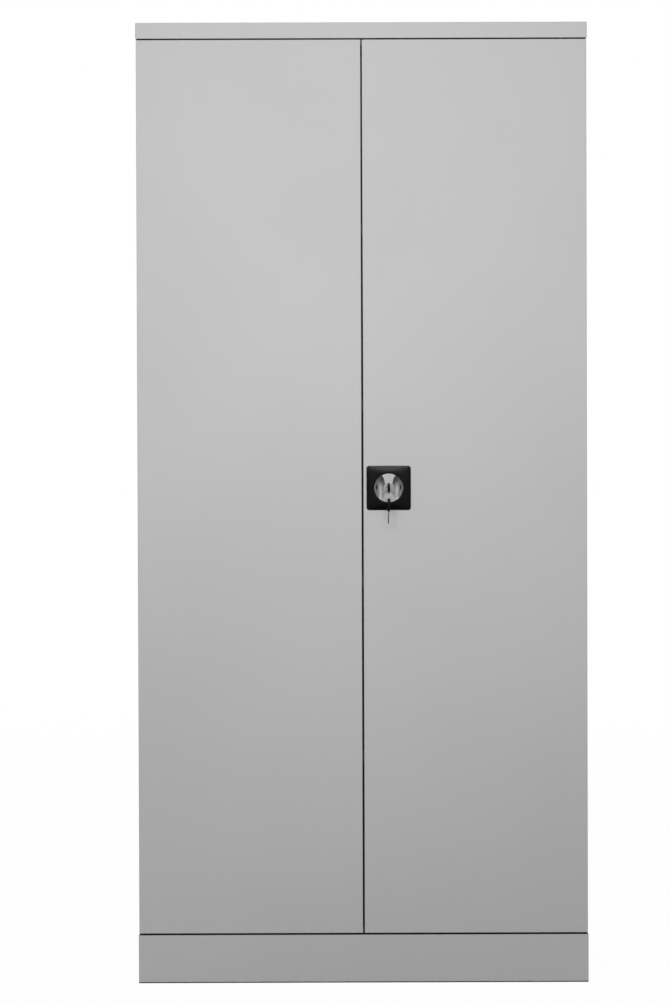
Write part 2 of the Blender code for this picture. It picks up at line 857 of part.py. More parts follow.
def make_key(names, place, metal, plastic, carrier):
    """A blade and its moulded bow. In the drawing u runs from the bow's shoulder to the blade's tip."""
    blade_name, bow_name = names
    half = blade_thickness / 2
    add_object(blade_name, prism(blade_outline(), place, -half, half), metal, carrier)
    shape = bmesh.new()
    faces = add_prism(shape, bow_outline(), place, -bow_thickness / 2, bow_thickness / 2)
    round_edges(shape, list(faces[0].edges) + list(faces[1].edges), bow_edge, 1)
    item = add_object(bow_name, shape, plastic, carrier)
    openings = bmesh.new()
    half_pocket = blade_width / 2 + seat_gap
    pocket = rectangle(-bow_pocket, cut_overrun, -half_pocket, half_pocket)
    add_prism(openings, pocket, place, -half - seat_gap, half + seat_gap)
    hole = arc((bow_hole_margin - bow_length, 0), bow_hole_radius, 0, math.tau, small_round_steps)[:-1]
    add_prism(openings, hole, place, -bow_thickness, bow_thickness)
    cut(item, bow_name + "_openings", openings)


def make_ring(material, carrier):
    circle = arc((ring_radius, 0), ring_wire_radius, 0, math.tau, wire_round_steps)[:-1]
    centre = facing(lock_offset, ring_hole_y, ring_top_z - ring_radius)
    shape = turned(circle, centre, medium_round_steps, hollow=True)
    add_object("key_ring", shape, material, carrier, smooth=True)


# Cam, rods and guides

def slot_outline(start):
    """A scroll slot: the follower's radius grows evenly while the cam turns from rest to locked."""
    middle = []
    for i in range(slot_steps + 1):
        share = i / slot_steps
        radius = follower_start + rod_travel * share
        turn = start - knob_turn * share
        middle.append((radius * math.cos(turn), radius * math.sin(turn)))
    outline = []
    quarter = math.pi / 2
    for path in (middle, middle[::-1]):
        outline += offset_path(path, slot_half_width)
        away = direction(path[-2], path[-1])
        heading = math.atan2(away.y, away.x)
        outline += arc(path[-1], slot_half_width, heading + quarter, heading - quarter, corner_steps)[1:-1]
    return outline


def cam_outline():
    """A disc with a straight nose that points up."""
    half = nose_width / 2
    opening = math.asin(half / cam_radius)
    up = math.pi / 2
    disc = arc((0, 0), cam_radius, up + opening, up + math.tau - opening, medium_round_steps)
    right = arc((half - nose_corner, nose_reach - nose_corner), nose_corner, 0, up, corner_steps)
    left = arc((nose_corner - half, nose_reach - nose_corner), nose_corner, up, math.pi, corner_steps)
    return disc + right + left


def make_cam(material, carrier):
    place = facing(lock_offset, 0, lock_height)
    item = add_object("lock_cam", prism(cam_outline(), place, cam_front_y, cam_back_y), material, carrier)
    openings = bmesh.new()
    low, high = cam_front_y - cut_overrun, cam_back_y + cut_overrun
    for start in (math.pi / 2, -math.pi / 2):
        add_prism(openings, slot_outline(start), place, low, high)
    half = tenon_half + seat_gap
    add_prism(openings, rectangle(-half, half, -half, half), place, low, high)
    cut(item, "lock_cam_openings", openings)


def make_cam_screw(material, carrier):
    head_back_y = screw_front_y + screw_head_height
    profile = [
        (0, tenon_back_y - screw_length + seat_gap),
        (screw_radius, tenon_back_y - screw_length + seat_gap),
        (screw_radius, screw_front_y),
        (screw_head_radius, screw_front_y),
        (screw_head_radius, head_back_y - screw_radius),
        (screw_head_radius - screw_radius, head_back_y),
        (0, head_back_y),
    ]
    place = facing(lock_offset, 0, lock_height)
    add_object("cam_screw", turned(profile, place, small_round_steps), material, carrier, smooth=True)


def make_rod(name, way, material, carrier):
    """A round rod with a follower pin that runs in the cam's slot. way is 1 for up and -1 for down."""
    near_z = lock_height + way * (follower_start - rod_end_margin)
    far_z = door_high_z - rod_top_inset if way > 0 else door_low_z + rod_top_inset
    low, high = sorted((near_z, far_z))
    body = turned(rod_profile(rod_radius, low, high), upright(lock_offset, rod_y), small_round_steps)
    item = add_object(name, body, material, carrier, smooth=True)
    follower_z = lock_height + way * follower_start
    follower = rod_profile(follower_radius, rod_y, cam_back_y + follower_overhang)
    join(item, name + "_follower", turned(follower, facing(lock_offset, 0, follower_z), small_round_steps))


def make_rod_guide(name, door_end_z, share, material, carrier):
    """A block that holds the rod, a share of the way from the lock to the end of the door."""
    middle = lock_height + share * (door_end_z - lock_height)
    skin_y = panel_sheet + seat_gap
    half = guide_width / 2
    outline = rectangle(-half, half, skin_y, skin_y + guide_depth)
    low, high = middle - guide_height / 2, middle + guide_height / 2
    item = add_object(name, prism(outline, upright(lock_offset), low, high), material, carrier)
    bore = rod_profile(rod_radius + rod_hole_gap, low - cut_overrun, high + cut_overrun)
    cut(item, name + "_bore", turned(bore, upright(lock_offset, rod_y), small_round_steps))


# Assembly

def main():
    for item in list(bpy.data.objects):
        bpy.data.objects.remove(item)

    paint = make_material("light_grey_paint", (0.50, 0.50, 0.50), 0.45)
    plastic = make_material("black_plastic", (0.012, 0.012, 0.012), 0.5)
    chrome = make_material("chrome", (0.72, 0.72, 0.73), 0.12, 1.0)
    nickel = make_material("nickel_plated_steel", (0.60, 0.58, 0.52), 0.25, 1.0)
    zinc = make_material("zinc_plated_steel", (0.55, 0.56, 0.58), 0.38, 1.0)
    nylon = make_material("white_nylon", (0.75, 0.75, 0.72), 0.5)

    body = add_axis("cabinet", (0, 0, 0))
    left_axis = add_axis("left_door_axis", (-hinge_x, hinge_face_distance, door_low_z), body)
    right_axis = add_axis("right_door_axis", (hinge_x, hinge_face_distance, door_low_z), body)
    knob_axis = add_axis("knob_axis", (lock_offset, knob_front_y, lock_height), right_axis)
    key_axis = add_axis("key_axis", (lock_offset, plug_front_y, lock_height), knob_axis)
    ring_axis = add_axis("ring_axis", (lock_offset, ring_hole_y, ring_top_z), key_axis)
    spare_axis = add_axis("spare_key_axis", (lock_offset, ring_hole_y, ring_low_z), ring_axis)
    upper_rod_axis = add_axis("upper_rod_axis", (lock_offset, rod_y, lock_height), right_axis)
    lower_rod_axis = add_axis("lower_rod_axis", (lock_offset, rod_y, lock_height), right_axis)
    body.location = (0, front_face_y, 0)

    make_base_frame(paint, body)
    make_floor_tray(paint, body)
    make_top_cap(paint, body)
    make_back_panel(paint, body)
    for word, side, axis in (("left", -1, left_axis), ("right", 1, right_axis)):
        make_side_panel(f"side_panel_{word}", side, paint, body)
        make_door(f"door_{word}", side, paint, axis)
        make_stiffener(f"door_stiffener_{word}", side, paint, axis)
        for height in ("top", "bottom"):
            upper = height == "top"
            make_pin(f"pivot_pin_{word}_{height}", side, upper, zinc, body)
            make_bush(f"hinge_bush_{word}_{height}", side, upper, plastic, axis)
        for depth in ("front", "rear"):
            front = depth == "front"
            make_post(f"post_{word}_{depth}", side, front, paint, body)
            for number in range(1, shelf_count + 1):
                make_clip(f"shelf_clip_{number}_{word}_{depth}", number, side, front, zinc, body)
    for number in range(1, shelf_count + 1):
        make_shelf(number, paint, body)

    make_lock_plate(plastic, right_axis)
    make_lock_housing(zinc, right_axis)
    make_knob(chrome, knob_axis)
    make_cam(zinc, knob_axis)
    make_cam_screw(zinc, knob_axis)
    make_plug(nickel, key_axis)
    key_place = sideways(lock_offset, bow_back_y, lock_height)
    make_key(("key_blade", "key_bow"), key_place, nickel, plastic, key_axis)
    make_ring(chrome, ring_axis)
    spare_place = hanging(lock_offset, ring_hole_y, spare_bow_low_z)
    make_key(("spare_key_blade", "spare_key_bow"), spare_place, nickel, plastic, spare_axis)
    make_rod("rod_upper", 1, zinc, upper_rod_axis)
    make_rod("rod_lower", -1, zinc, lower_rod_axis)
    for word, door_end_z in (("upper", door_high_z), ("lower", door_low_z)):
        make_rod_guide(f"rod_guide_{word}_near", door_end_z, guide_near_share, nylon, right_axis)
        make_rod_guide(f"rod_guide_{word}_far", door_end_z, guide_far_share, nylon, right_axis)


main()
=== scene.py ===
# %% [markdown]
# # A two-door steel storage cabinet
#
# The cabinet is folded from thin sheet steel and painted with light grey powder. It has two doors, four
# shelves and a turn-knob lock with a key. Its solids come ready made and stay where they are: this lesson
# gives them their finish and replaces the small pieces of the lock, which a close look needs in more
# detail.

import json
import math

import bmesh
import bpy
from mathutils import Matrix, Vector

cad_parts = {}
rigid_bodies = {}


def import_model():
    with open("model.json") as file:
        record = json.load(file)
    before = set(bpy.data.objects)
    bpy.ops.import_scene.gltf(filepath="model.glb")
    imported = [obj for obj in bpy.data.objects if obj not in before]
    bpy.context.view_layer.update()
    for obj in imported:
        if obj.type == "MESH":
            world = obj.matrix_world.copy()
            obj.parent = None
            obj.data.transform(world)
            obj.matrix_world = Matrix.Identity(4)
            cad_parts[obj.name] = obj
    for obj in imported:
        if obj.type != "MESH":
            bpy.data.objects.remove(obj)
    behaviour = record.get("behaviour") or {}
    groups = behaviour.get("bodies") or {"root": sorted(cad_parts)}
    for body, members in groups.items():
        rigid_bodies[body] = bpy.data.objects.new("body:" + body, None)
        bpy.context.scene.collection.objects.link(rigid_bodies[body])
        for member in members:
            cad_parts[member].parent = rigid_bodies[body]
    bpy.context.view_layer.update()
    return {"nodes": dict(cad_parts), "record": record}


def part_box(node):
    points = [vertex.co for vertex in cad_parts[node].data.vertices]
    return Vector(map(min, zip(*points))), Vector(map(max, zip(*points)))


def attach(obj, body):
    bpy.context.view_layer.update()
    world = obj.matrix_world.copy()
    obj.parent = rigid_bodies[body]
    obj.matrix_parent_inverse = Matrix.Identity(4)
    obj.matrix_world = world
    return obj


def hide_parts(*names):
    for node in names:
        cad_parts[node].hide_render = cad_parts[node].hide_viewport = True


for item in list(bpy.data.objects):
    bpy.data.objects.remove(item)

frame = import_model()
nodes = frame["nodes"]
scene = bpy.context.scene
mm = 0.001

# %% [markdown]
# ## The camera
#
# The photograph was taken straight from the front, from about five metres, a little above half height.
# The four corners of the cabinet's front give the rest: the lens, a slight tilt down and a very slight
# roll. The picture was cropped off centre, which a small lens shift repeats. Blender's sensor width
# belongs to the long side of the picture.

# %% Camera from the measured corners
photo_height = 1004
sensor_width = 36.0
camera_distance = 5.0
camera_height = 1.036
tilt_down = math.radians(0.664)
roll = math.radians(0.178)
focal_pixels = 2463.6
crop_pixels = 27.35

front_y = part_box("top_cap")[0].y
camera_data = bpy.data.cameras.new("camera")
camera_data.sensor_width = sensor_width
camera_data.lens = sensor_width * focal_pixels / photo_height
camera_data.shift_x = -crop_pixels / photo_height
camera = bpy.data.objects.new("camera", camera_data)
scene.collection.objects.link(camera)
camera.location = (0, front_y - camera_distance, camera_height)
aim = Matrix.Rotation(math.pi / 2 - tilt_down, 3, "X") @ Matrix.Rotation(-roll, 3, "Z")
camera.rotation_euler = aim.to_euler()
scene.camera = camera
scene.view_settings.view_transform = "Standard"
print("lens", round(camera_data.lens, 1), "mm, sideways shift", round(camera_data.shift_x, 4))

# %% [markdown]
# ## Shader sums written as sums
#
# A finish is a small sum over noise, distance and height. Wiring it node by node hides that sum, so a
# socket is wrapped in a class here: an operator on it adds the Math node. The second class holds the node
# tree of one material and makes every other kind of node.


# %% A socket that can be used in a sum
class Signal:
    """One output of a node. An operator on it adds a Math node to the same tree."""

    def __init__(self, recipe, socket):
        self.recipe = recipe
        self.socket = socket

    def __add__(self, other):
        return self.recipe.math("ADD", self, other)

    def __sub__(self, other):
        return self.recipe.math("SUBTRACT", self, other)

    def __rsub__(self, other):
        return self.recipe.math("SUBTRACT", other, self)

    def __mul__(self, other):
        return self.recipe.math("MULTIPLY", self, other)

    def __truediv__(self, other):
        return self.recipe.math("DIVIDE", self, other)

    def __abs__(self):
        return self.recipe.math("ABSOLUTE", self)

    __radd__ = __add__
    __rmul__ = __mul__

    def beside(self, name):
        """Another output of the same node."""
        return Signal(self.recipe, self.socket.node.outputs[name])

    def rise(self, low, high):
        """0 below low, 1 above high, and a soft rise in between."""
        limits = {"Value": self, "From Min": low, "From Max": high}
        return self.recipe.node("ShaderNodeMapRange", {"interpolation_type": "SMOOTHSTEP"}, limits)


# %% The nodes of one material
class Recipe:
    """The node tree of one material or world, emptied and ready to fill."""

    def __init__(self, owner):
        owner.use_nodes = True
        self.tree = owner.node_tree
        self.tree.nodes.clear()

    def node(self, kind, settings=None, inputs=None, output=0):
        """Makes a node, sets its settings, then gives each named input a value or a link."""
        made = self.tree.nodes.new(kind)
        for name, value in (settings or {}).items():
            setattr(made, name, value)
        for name, value in (inputs or {}).items():
            if isinstance(value, Signal):
                self.tree.links.new(value.socket, made.inputs[name])
            else:
                made.inputs[name].default_value = value
        return Signal(self, made.outputs[output]) if made.outputs else made

    def math(self, operation, *values):
        """A Math node, also for what no operator stands for."""
        return self.node("ShaderNodeMath", {"operation": operation}, dict(enumerate(values)))

    def parts(self, vector):
        """The x, y and z of a place or a direction."""
        x = self.node("ShaderNodeSeparateXYZ", None, {"Vector": vector})
        return x, x.beside("Y"), x.beside("Z")

    def mix(self, factor, first, second):
        """A colour between two colours, which are inputs 6 and 7 of the node. It is its output 2."""
        return self.node("ShaderNodeMix", {"data_type": "RGBA"}, {0: factor, 6: first, 7: second}, 2)

    def noise(self, place, scale, detail):
        """Soft noise between 0 and 1, with this many waves per metre and this many finer layers."""
        inputs = {"Vector": place, "Scale": scale, "Detail": detail}
        return self.node("ShaderNodeTexNoise", None, inputs, "Fac")

    def stretched(self, place, factors):
        """The place, squeezed or stretched along each axis."""
        return self.node("ShaderNodeVectorMath", {"operation": "MULTIPLY"}, {0: place, 1: factors})

    def bump(self, height, depth, strength):
        """A normal from a height between 0 and 1 that stands for this depth in metres."""
        inputs = {"Height": height, "Distance": depth, "Strength": strength}
        return self.node("ShaderNodeBump", None, inputs)


def make_finish(name, build):
    """A material. build(recipe, place) makes its nodes and returns the inputs of the Principled shader."""
    material = bpy.data.materials.new(name)
    recipe = Recipe(material)
    place = recipe.node("ShaderNodeTexCoord", None, None, "Object")
    surface = recipe.node("ShaderNodeBsdfPrincipled", None, build(recipe, place))
    recipe.node("ShaderNodeOutputMaterial", None, {"Surface": surface})
    print("finish", name, "with", len(recipe.tree.nodes), "nodes")
    return material


# %% [markdown]
# ## Painted steel
#
# Powder paint is sprayed dry and melted on, so it is never quite flat: soft ripples about two millimetres
# apart, which painters call orange peel, lie under a finer grain. The ripples are noise in a bump, and a
# very wide noise makes the tone and the gloss drift a little from place to place. The height is a noise
# in the solid's own metres, so the ripples are equally large on the doors and on a clip.
#
# Two places are painted darker. The walls of the narrow gaps round the doors carry painted shade. Lower
# down, the painted shade reaches out onto the edges beside the gaps, and between the doors onto the edge
# of the right one, the door that opens first. A painted shadow makes a dark line along the foot. A painted
# mask could draw all this, but it follows from where a point is: a distance to each gap, and a height
# above the floor with a little noise to make the line uneven.

# %% Painted shade in the gaps and a painted shadow along the foot
door_low, door_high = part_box("door_left")
gap_half = -door_high.x
top_gap_z = door_high.z + gap_half
foot_gap_z = door_low.z - gap_half
gap_shade_start, gap_shade_full = 0.1 * mm, 1.0 * mm
gap_shade_margin, gap_shade_blur = 0.1 * mm, 0.25 * mm
edge_shade, edge_shade_shift = 0.55 * mm, 0.65 * mm
edge_shade_full, edge_shade_none = 1.10, 1.75
fade_start, fade_end = 5 * mm, 22 * mm
foot_line, foot_line_blur = 2.7 * mm, 0.3 * mm
foot_line_wander, foot_line_waves = 1.2 * mm, 70
print("gaps", round(2 * gap_half / mm, 2), "mm wide at heights", round(top_gap_z, 4), round(foot_gap_z, 4))


# Painted shade: this mask darkens the walls of the gaps and, lower down, the edges beside them.
def painted_gap_shade(recipe, place):
    """1 on the walls of the gaps and lower down on the edges beside them, and 0 elsewhere."""
    x, y, z = recipe.parts(place)
    above_or_below = recipe.math("MAXIMUM", z - top_gap_z, foot_gap_z - z)
    nearest = recipe.math("MAXIMUM", abs(x - edge_shade_shift), above_or_below)
    for height in (top_gap_z, foot_gap_z):
        nearest = recipe.math("MINIMUM", nearest, abs(z - height))
    low_share = 1 - z.rise(edge_shade_full, edge_shade_none)
    reach = low_share * edge_shade + (gap_half + gap_shade_margin)
    in_gap = 1 - nearest.rise(reach, reach + gap_shade_blur)
    depth = low_share * gap_shade_full + (y - door_low.y)
    return in_gap * depth.rise(gap_shade_start, gap_shade_full) * (1 - depth.rise(fade_start, fade_end))


# Painted shadow: a dark line along the lowest few millimetres of the foot.
def painted_foot_shadow(recipe, place):
    """1 on the lowest few millimetres and 0 above, with an uneven upper edge."""
    height = recipe.parts(place)[2]
    uneven = foot_line + (recipe.noise(place, foot_line_waves, 3.0) - 0.5) * foot_line_wander
    return 1 - (height - uneven).rise(-foot_line_blur, foot_line_blur)


# %% Grey powder paint
paint_colour = (0.500, 0.502, 0.500, 1)
paint_shade = (0.482, 0.485, 0.484, 1)
speck_colour = (0.40, 0.40, 0.40, 1)
# The colours of the painted shade in the gaps and of the painted shadow along the foot.
gap_shade_colour = (0.045, 0.045, 0.045, 1)
foot_shadow_colour = (0.045, 0.045, 0.042, 1)
peel_waves, paint_grain_waves = 420, 2600
drift_waves, speck_waves = 2.2, 900
speck_start, speck_full, speck_share = 0.70, 0.76, 0.25
peel_share = 0.8
peel_depth, peel_strength = 0.035 * mm, 0.6
paint_roughness = 0.40
paint_specular = 0.32


def powder_paint(recipe, place):
    peel = recipe.noise(place, peel_waves, 1.0)
    grain = recipe.noise(place, paint_grain_waves, 1.0)
    drift = recipe.noise(place, drift_waves, 3.0)
    specks = recipe.noise(place, speck_waves, 0.0).rise(speck_start, speck_full)
    tone = recipe.mix(drift.rise(0.3, 0.7), paint_colour, paint_shade)
    speckled = recipe.mix(specks * speck_share, tone, speck_colour)
    # The painted gap shade and the painted foot shadow darken the base colour here.
    gap_shaded = recipe.mix(painted_gap_shade(recipe, place), speckled, gap_shade_colour)
    ripples = peel * peel_share + grain * (1 - peel_share)
    return {
        "Base Color": recipe.mix(painted_foot_shadow(recipe, place), gap_shaded, foot_shadow_colour),
        "Roughness": paint_roughness + 0.08 * drift + 0.05 * grain,
        "Normal": recipe.bump(ripples, peel_depth, peel_strength),
        "Specular IOR Level": paint_specular,
    }


grey_paint = make_finish("grey_powder_paint", powder_paint)

# %% [markdown]
# ## The metals
#
# Three bare metals show on the lock. The knob has satin chrome: chromium reflects a little over half of
# the light, and the fine blasting under the plate makes its reflections soft. The keys and the key plug
# are nickelled, with fine lines from the belt that ground them. The nickel comes in two copies: the keys'
# copy is painted darker, as painted shade, and the plug's lighter, as painted light. The cam, the rods
# and the clips are zinc plated, which comes out of the bath cloudy and a little blue. A metal has no
# colour but its reflection, so each of them is a base colour, a roughness that varies, and hardly any
# bump.

# %% Chrome
chrome_dull = (0.72, 0.72, 0.725, 1)
chrome_clear = (0.78, 0.78, 0.78, 1)
chrome_roughness = 0.36
haze_waves, wipe_waves = 60, 900
wipe_stretch = (1, 1, 0.15)
wipe_depth = 0.002 * mm


def chrome(recipe, place):
    wipes = recipe.noise(recipe.stretched(place, wipe_stretch), wipe_waves, 3.0)
    haze = recipe.noise(place, haze_waves, 2.0)
    return {
        "Base Color": recipe.mix(haze, chrome_dull, chrome_clear),
        "Metallic": 1.0,
        "Roughness": chrome_roughness + 0.08 * haze + 0.05 * wipes,
        "Normal": recipe.bump(wipes, wipe_depth, 0.4),
    }


chromed = make_finish("satin_chrome", chrome)

# %% Nickel
dark_key, darker_key = (0.17, 0.17, 0.166, 1), (0.12, 0.12, 0.116, 1)
bright_plug, dimmer_plug = (0.66, 0.66, 0.65, 1), (0.56, 0.56, 0.55, 1)
nickel_roughness = 0.24
line_waves, stain_waves = 4000, 140
line_stretch = (1, 1, 0.05)
line_depth = 0.006 * mm


def nickel(clean, stained):
    """The nodes of ground nickel between a clean and a stained colour."""

    def build(recipe, place):
        lines = recipe.noise(recipe.stretched(place, line_stretch), line_waves, 2.0)
        stain = recipe.noise(place, stain_waves, 3.0)
        return {
            "Base Color": recipe.mix(stain.rise(0.35, 0.75), clean, stained),
            "Metallic": 1.0,
            "Roughness": nickel_roughness + 0.15 * lines + 0.08 * stain,
            "Normal": recipe.bump(lines, line_depth, 0.5),
        }

    return build


# Two copies of one nickel: the keys' copy is painted darker as painted shade, the plug's lighter as
# painted light.
shaded_nickel_copy = make_finish("shaded_ground_nickel", nickel(dark_key, darker_key))
lit_nickel_copy = make_finish("lit_ground_nickel", nickel(bright_plug, dimmer_plug))

# %% Zinc plate
zinc_blue = (0.46, 0.48, 0.51, 1)
zinc_grey = (0.54, 0.54, 0.525, 1)
zinc_roughness = 0.30
cloud_waves, zinc_grain_waves = 55, 1500
zinc_grain_depth = 0.008 * mm


def zinc(recipe, place):
    cloud = recipe.noise(place, cloud_waves, 4.0)
    grain = recipe.noise(place, zinc_grain_waves, 2.0)
    return {
        "Base Color": recipe.mix(cloud.rise(0.3, 0.7), zinc_blue, zinc_grey),
        "Metallic": 1.0,
        "Roughness": zinc_roughness + 0.18 * cloud + 0.06 * grain,
        "Normal": recipe.bump(grain, zinc_grain_depth, 0.5),
    }


zinc_plated = make_finish("cloudy_zinc", zinc)

# %% [markdown]
# ## The plastics
#
# The lock plate, the heads of the keys and the bushes of the hinges are black moulded plastic. The mould
# was etched, so the surface carries a fine grain that takes away most of the gloss. What faces up, as on
# the plate's upper border, is painted a lighter grey as a painted highlight; the object's own normal says
# what faces up. The heads of the keys have the same black without the painted highlight. The guides of
# the rods are milky nylon.

# %% Black plastic
deep_black = (0.0030, 0.0030, 0.0031, 1)
worn_black = (0.0050, 0.0050, 0.0050, 1)
# Painted highlight: the lighter grey painted on what faces up.
top_highlight_colour = (0.085, 0.085, 0.083, 1)
plastic_roughness = 0.30
plastic_specular = 0.13
etched_waves, rubbed_waves = 1800, 45
etched_depth = 0.02 * mm
top_highlight_start, top_highlight_full = 0.02, 0.45
least_top_highlight = 0.6


def plastic_without_highlight(recipe, place):
    etched = recipe.noise(place, etched_waves, 2.0)
    rubbed = recipe.noise(place, rubbed_waves, 3.0)
    return {
        "Base Color": recipe.mix(rubbed.rise(0.3, 0.8), deep_black, worn_black),
        "Roughness": plastic_roughness + 0.08 * etched + 0.06 * rubbed,
        "Normal": recipe.bump(etched, etched_depth, 0.4),
        "Specular IOR Level": plastic_specular,
    }


# Painted highlight: what faces up, such as the plate's upper border, is painted lighter.
def plastic_with_painted_highlight(recipe, place):
    inputs = plastic_without_highlight(recipe, place)
    facing_up = recipe.parts(place.beside("Normal"))[2]
    uneven = least_top_highlight + (1 - least_top_highlight) * recipe.noise(place, rubbed_waves, 3.0)
    painted_highlight = facing_up.rise(top_highlight_start, top_highlight_full) * uneven
    return inputs | {"Base Color": recipe.mix(painted_highlight, inputs["Base Color"], top_highlight_colour)}


moulded_black = make_finish("etched_black_plastic", plastic_with_painted_highlight)
key_black = make_finish("key_black_plastic", plastic_without_highlight)

# %% White nylon
yellow_milk = (0.70, 0.70, 0.66, 1)
white_milk = (0.78, 0.78, 0.75, 1)
nylon_roughness = 0.38
milk_waves = 160
milk_depth = 0.03 * mm


def white_nylon(recipe, place):
    milk = recipe.noise(place, milk_waves, 2.0)
    return {
        "Base Color": recipe.mix(milk, yellow_milk, white_milk),
        "Roughness": nylon_roughness + 0.12 * milk,
        "Normal": recipe.bump(milk, milk_depth, 0.4),
    }


nylon = make_finish("milky_nylon", white_nylon)

# %% [markdown]
# ## Dressing the solids
#
# Each solid names a material slot in its record, so a short table turns slots into finishes. The solids
# come as loose triangles with flat shading. A small tree of geometry nodes welds them and marks the true
# corners as sharp, and a Weighted Normal modifier lets the wide flat faces rule the shading, so that only
# the folds look round. Machined and moulded solids also get a narrow bevel, because their edges are never
# knife sharp.

# %% Weld and shade by angle
weld_distance = 0.002 * mm
corner_angle = math.radians(50)


def make_shading_tree():
    tree = bpy.data.node_groups.new("weld_and_shade", "GeometryNodeTree")
    tree.interface.new_socket("Geometry", in_out="INPUT", socket_type="NodeSocketGeometry")
    tree.interface.new_socket("Geometry", in_out="OUTPUT", socket_type="NodeSocketGeometry")
    start = tree.nodes.new("NodeGroupInput")
    weld = tree.nodes.new("GeometryNodeMergeByDistance")
    weld.inputs["Distance"].default_value = weld_distance
    forget = tree.nodes.new("GeometryNodeRemoveAttribute")
    forget.inputs["Name"].default_value = "custom_normal"
    smooth = tree.nodes.new("GeometryNodeSetShadeSmooth")
    angle = tree.nodes.new("GeometryNodeInputMeshEdgeAngle")
    is_corner = tree.nodes.new("FunctionNodeCompare")
    is_corner.inputs[1].default_value = corner_angle
    sharp = tree.nodes.new("GeometryNodeSetShadeSmooth")
    sharp.domain = "EDGE"
    sharp.inputs["Shade Smooth"].default_value = False
    end = tree.nodes.new("NodeGroupOutput")
    chain = (start, weld, forget, smooth, sharp, end)
    for before, after in zip(chain, chain[1:]):
        tree.links.new(before.outputs[0], after.inputs[0])
    tree.links.new(angle.outputs[0], is_corner.inputs[0])
    tree.links.new(is_corner.outputs[0], sharp.inputs["Selection"])
    print("the shading tree has", len(tree.nodes), "nodes")
    return tree


shading_tree = make_shading_tree()


def shade_by_angle(item, edge=0):
    """Welds the item, bevels its corners if an edge is given, and lets flat faces rule the shading."""
    shade = item.modifiers.new("weld_and_shade", "NODES")
    shade.node_group = shading_tree
    if edge:
        bevel = item.modifiers.new("worn_edges", "BEVEL")
        bevel.width = edge
        bevel.segments = 2
        bevel.limit_method = "ANGLE"
        bevel.angle_limit = corner_angle
    weigh = item.modifiers.new("flat_faces_rule", "WEIGHTED_NORMAL")
    weigh.keep_sharp = True


# %% Give every solid its finish
finishes = {
    "grey_paint": grey_paint,
    "black_plastic": moulded_black,
    "chrome": chromed,
    "key_metal": shaded_nickel_copy,
    "zinc_plated": zinc_plated,
    "white_nylon": nylon,
}
# The plug takes the nickel copy painted lighter, as painted light.
finish_of_node = {"lock_plug": lit_nickel_copy}
worn_edges = {
    "lock_housing": 0.25 * mm,
    "lock_cam": 0.25 * mm,
    "lock_plug": 0.20 * mm,
    "cam_screw": 0.20 * mm,
    "rod_upper": 0.30 * mm,
    "rod_lower": 0.30 * mm,
    "shelf_clip": 0.20 * mm,
    "pivot_pin": 0.20 * mm,
    "rod_guide": 0.50 * mm,
    "hinge_bush": 0.50 * mm,
}

for part in frame["record"]["subparts"]:
    name = part["node"]
    item = nodes[name]
    item.data.materials.clear()
    item.data.materials.append(finish_of_node.get(name, finishes[part["material_slot"]]))
    widths = [width for start, width in worn_edges.items() if name.startswith(start)]
    shade_by_angle(item, sum(widths))
print("dressed", len(nodes), "solids")

# %% [markdown]
# ## Making a piece of the lock
#
# The lock's knob, plate, keys and ring catch the light along edges that a plain solid doesn't have, so
# they are made anew, each in the place of its solid. Every one of them is a row of closed rings, one
# after the other, skinned with quads. Modelling by hand would give the same mesh, but a ring can be
# written as a sum, so its sizes stay exact. The rings are given in the lock's own directions: u to the
# right, w up, and depth back from the face of the door. Circles and rounded edges come back in many
# pieces, so each has a helper.

# %% Places, circles and rounded edges
door_face_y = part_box("door_right")[0].y
plug_low, plug_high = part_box("lock_plug")
lock_x = (plug_low.x + plug_high.x) / 2
lock_z = (plug_low.z + plug_high.z) / 2
print("the lock's centre is at", round(lock_x, 4), round(lock_z, 4))


def lock_point(u, depth, w):
    return Vector((lock_x + u, door_face_y + depth, lock_z + w))


def circle(radius, steps):
    """Points round a circle, as pairs."""
    turns = [math.tau * i / steps for i in range(steps)]
    return [(radius * math.cos(turn), radius * math.sin(turn)) for turn in turns]


def rounding(radius, steps):
    """The way round a quarter circle: how far on along one face, and how far down the next."""
    turns = [math.pi / 2 * i / steps for i in range(steps + 1)]
    return [(radius * math.sin(turn), radius * (1 - math.cos(turn))) for turn in turns]


# %% Rings become a mesh, and the mesh a piece
bodies = frame["record"]["behaviour"]["bodies"]


def skin(shape, rings, endless=False):
    """Joins each ring to the next with quads. The last joins the first, or both ends get a face."""
    rows = [[shape.verts.new(point) for point in ring] for ring in rings]
    if endless:
        rows.append(rows[0])
    else:
        shape.faces.new(rows[0])
        shape.faces.new(rows[-1])
    count = len(rows[0])
    for before, after in zip(rows, rows[1:]):
        for i in range(count):
            following = (i + 1) % count
            shape.faces.new((before[i], before[following], after[following], after[i]))


def make_mesh(name, shape):
    """Turns a shape of bmesh into a linked object, with all faces outwards."""
    bmesh.ops.recalc_face_normals(shape, faces=shape.faces)
    mesh = bpy.data.meshes.new(name)
    shape.to_mesh(mesh)
    shape.free()
    item = bpy.data.objects.new(name, mesh)
    scene.collection.objects.link(item)
    return item


def add_piece(name, rings, slot, solid, finish=None, endless=False, stands_for_it=True):
    """Skins the rings to a piece, which rides on a solid's body and, as a rule, takes its place."""
    shape = bmesh.new()
    skin(shape, rings, endless)
    item = make_mesh(name, shape)
    item.data.materials.append(finish or finishes[slot])
    shade_by_angle(item)
    body = next(body for body, names in bodies.items() if solid in names)
    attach(item, body)
    if stands_for_it:
        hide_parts(solid)
    print(name, "has", len(item.data.polygons), "faces and rides on", body)
    return item


